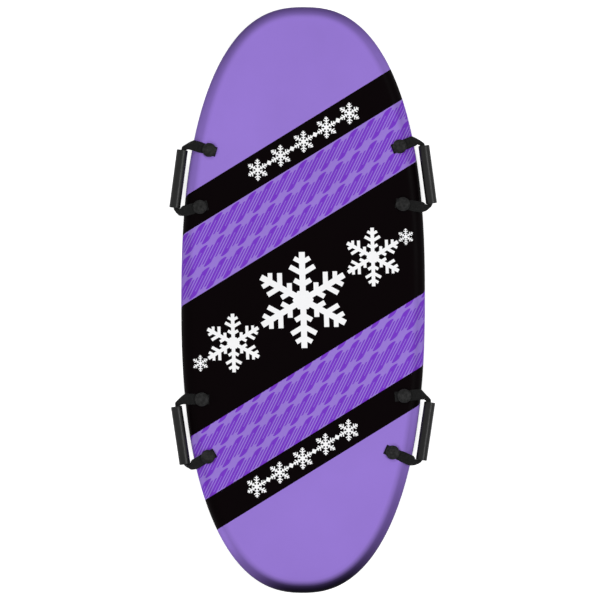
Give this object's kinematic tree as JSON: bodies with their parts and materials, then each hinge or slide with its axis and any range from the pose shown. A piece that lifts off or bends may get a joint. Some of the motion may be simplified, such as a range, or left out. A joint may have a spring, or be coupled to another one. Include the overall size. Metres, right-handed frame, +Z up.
{
  "type": "snow surfer",
  "caption": "Long oval foam snow board with upturned tips, a printed deck, a slick base and side handles of webbing with tube grips",
  "frame": {"origin": "on the ground under the middle of the base", "axes": "+Y towards the nose along the board, +X across it to the right as seen from above with the nose up, +Z up out of the deck"},
  "size_m": [0.4576, 1, 0.0696],
  "materials": {
    "printed_skin": "satin",
    "closed_cell_foam": "matte",
    "slick_sheet": "satin",
    "webbing": "matte",
    "grip_plastic": "satin",
    "button_plastic": "satin"
  },
  "bodies": {
    "board": {"foam_core": "closed_cell_foam", "deck_skin": "printed_skin", "slick_base": "slick_sheet", "front_left_inner_cap": "button_plastic", "front_left_inner_plug": "button_plastic", "front_left_inner_strap_end": "webbing", "front_left_outer_cap": "button_plastic", "front_left_outer_plug": "button_plastic", "front_left_outer_strap_end": "webbing", "front_right_inner_cap": "button_plastic", "front_right_inner_plug": "button_plastic", "front_right_inner_strap_end": "webbing", "front_right_outer_cap": "button_plastic", "front_right_outer_plug": "button_plastic", "front_right_outer_strap_end": "webbing", "rear_left_inner_cap": "button_plastic", "rear_left_inner_plug": "button_plastic", "rear_left_inner_strap_end": "webbing", "rear_left_outer_cap": "button_plastic", "rear_left_outer_plug": "button_plastic", "rear_left_outer_strap_end": "webbing", "rear_right_inner_cap": "button_plastic", "rear_right_inner_plug": "button_plastic", "rear_right_inner_strap_end": "webbing", "rear_right_outer_cap": "button_plastic", "rear_right_outer_plug": "button_plastic", "rear_right_outer_strap_end": "webbing"},
    "front_left_handle": {"front_left_strap_loop": "webbing"},
    "front_left_grip_tube": {"front_left_grip": "grip_plastic"},
    "front_right_handle": {"front_right_strap_loop": "webbing"},
    "front_right_grip_tube": {"front_right_grip": "grip_plastic"},
    "rear_left_handle": {"rear_left_strap_loop": "webbing"},
    "rear_left_grip_tube": {"rear_left_grip": "grip_plastic"},
    "rear_right_handle": {"rear_right_strap_loop": "webbing"},
    "rear_right_grip_tube": {"rear_right_grip": "grip_plastic"}
  },
  "joints": [
    {"name": "front_left_handle_hinge", "type": "hinge", "parent": "board", "child": "front_left_handle", "pos_m": [-0.18958, 0.20977, 0.0463], "axis": [0.1287, 0.9917, 0], "range_deg": [0, 135]},
    {"name": "front_left_grip_spin", "type": "hinge", "parent": "front_left_handle", "child": "front_left_grip_tube", "pos_m": [-0.21341, 0.20641, 0.0363], "axis": [-0.1287, -0.9917, 0], "continuous": true},
    {"name": "front_right_handle_hinge", "type": "hinge", "parent": "board", "child": "front_right_handle", "pos_m": [0.1887, 0.21639, 0.0463], "axis": [0.1354, -0.9908, 0], "range_deg": [0, 135]},
    {"name": "front_right_grip_spin", "type": "hinge", "parent": "front_right_handle", "child": "front_right_grip_tube", "pos_m": [0.21231, 0.21497, 0.0363], "axis": [-0.1354, 0.9908, 0], "continuous": true},
    {"name": "rear_left_handle_hinge", "type": "hinge", "parent": "board", "child": "rear_left_handle", "pos_m": [-0.1866, -0.22206, 0.0463], "axis": [-0.1512, 0.9885, 0], "range_deg": [0, 135]},
    {"name": "rear_left_grip_spin", "type": "hinge", "parent": "rear_left_handle", "child": "rear_left_grip_tube", "pos_m": [-0.20856, -0.23189, 0.0363], "axis": [0.1512, -0.9885, 0], "continuous": true},
    {"name": "rear_right_handle_hinge", "type": "hinge", "parent": "board", "child": "rear_right_handle", "pos_m": [0.18762, -0.21516, 0.0463], "axis": [-0.1439, -0.9896, 0], "range_deg": [0, 135]},
    {"name": "rear_right_grip_spin", "type": "hinge", "parent": "rear_right_handle", "child": "rear_right_grip_tube", "pos_m": [0.20985, -0.22355, 0.0363], "axis": [0.1439, 0.9896, 0], "continuous": true}
  ]
}
